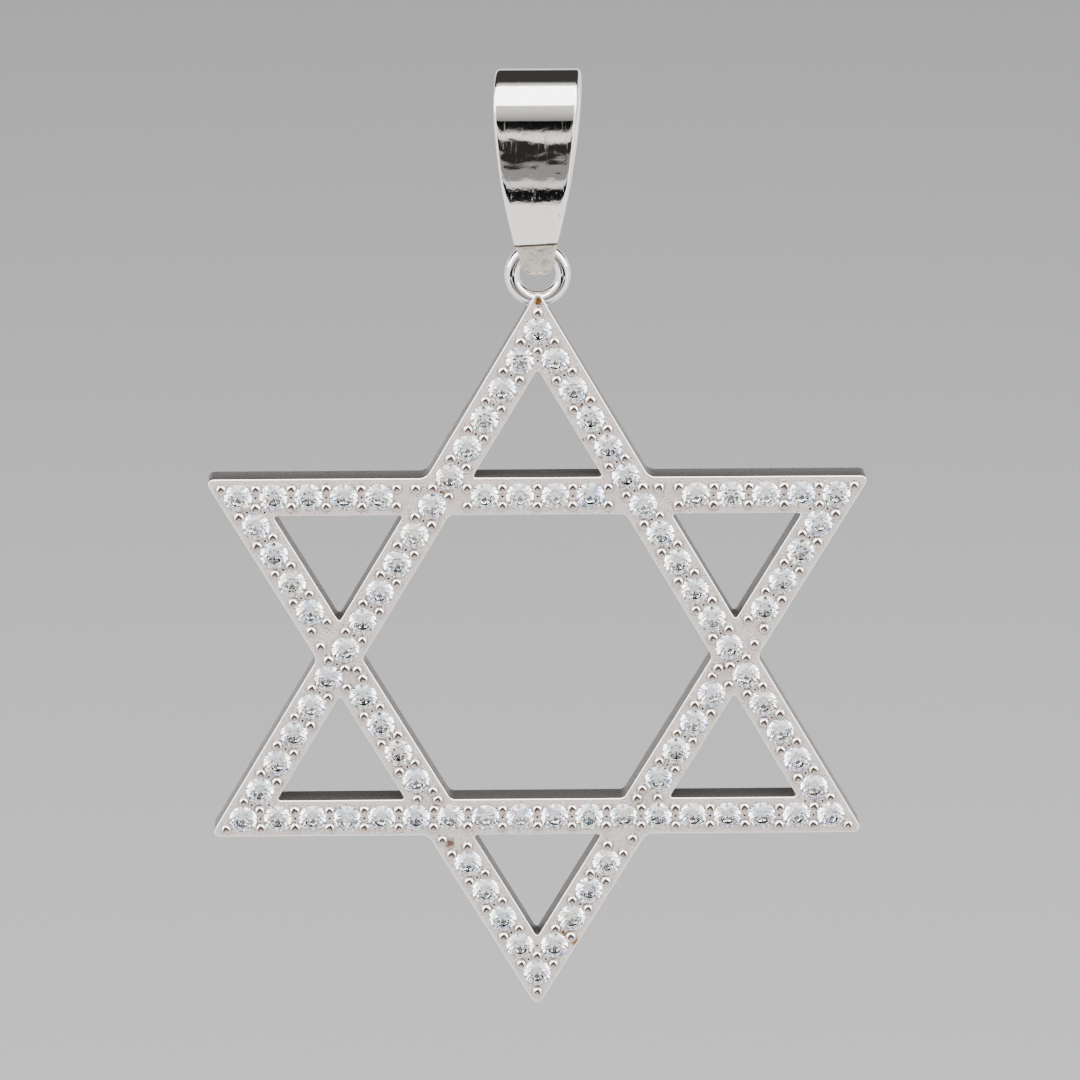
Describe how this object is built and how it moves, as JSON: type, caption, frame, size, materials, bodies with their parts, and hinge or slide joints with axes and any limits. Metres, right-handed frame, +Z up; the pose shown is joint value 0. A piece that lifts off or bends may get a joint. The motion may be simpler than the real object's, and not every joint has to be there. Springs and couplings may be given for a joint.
{
  "type": "star of david pendant",
  "caption": "Six-pointed star pendant of two crossed stone-set triangles, hung by a soldered ring from a tapered loop bail.",
  "frame": {"origin": "the point inside the top of the bail, midway across its width and depth, where a chain carries it", "axes": "+Z up as it hangs, -Y out of the front with the stones, +X to the viewer's right"},
  "size_m": [0.035, 0.0044, 0.0526],
  "materials": {
    "polished_silver": "rhodium-bright polished silver",
    "cast_silver": "bright cast silver, front faces polished, side walls left grainy",
    "clear_stone": "clear round brilliant-cut stone"
  },
  "bodies": {
    "bail": {"bail": "polished_silver"},
    "star": {"star_frame": "cast_silver", "stones_upright": "clear_stone", "stones_inverted": "clear_stone"}
  },
  "joints": [
    {"name": "star_swing", "type": "hinge", "parent": "bail", "child": "star", "pos_m": [0, 0, -0.00942], "axis": [1, 0, 0], "range_deg": [-40, 40]}
  ]
}
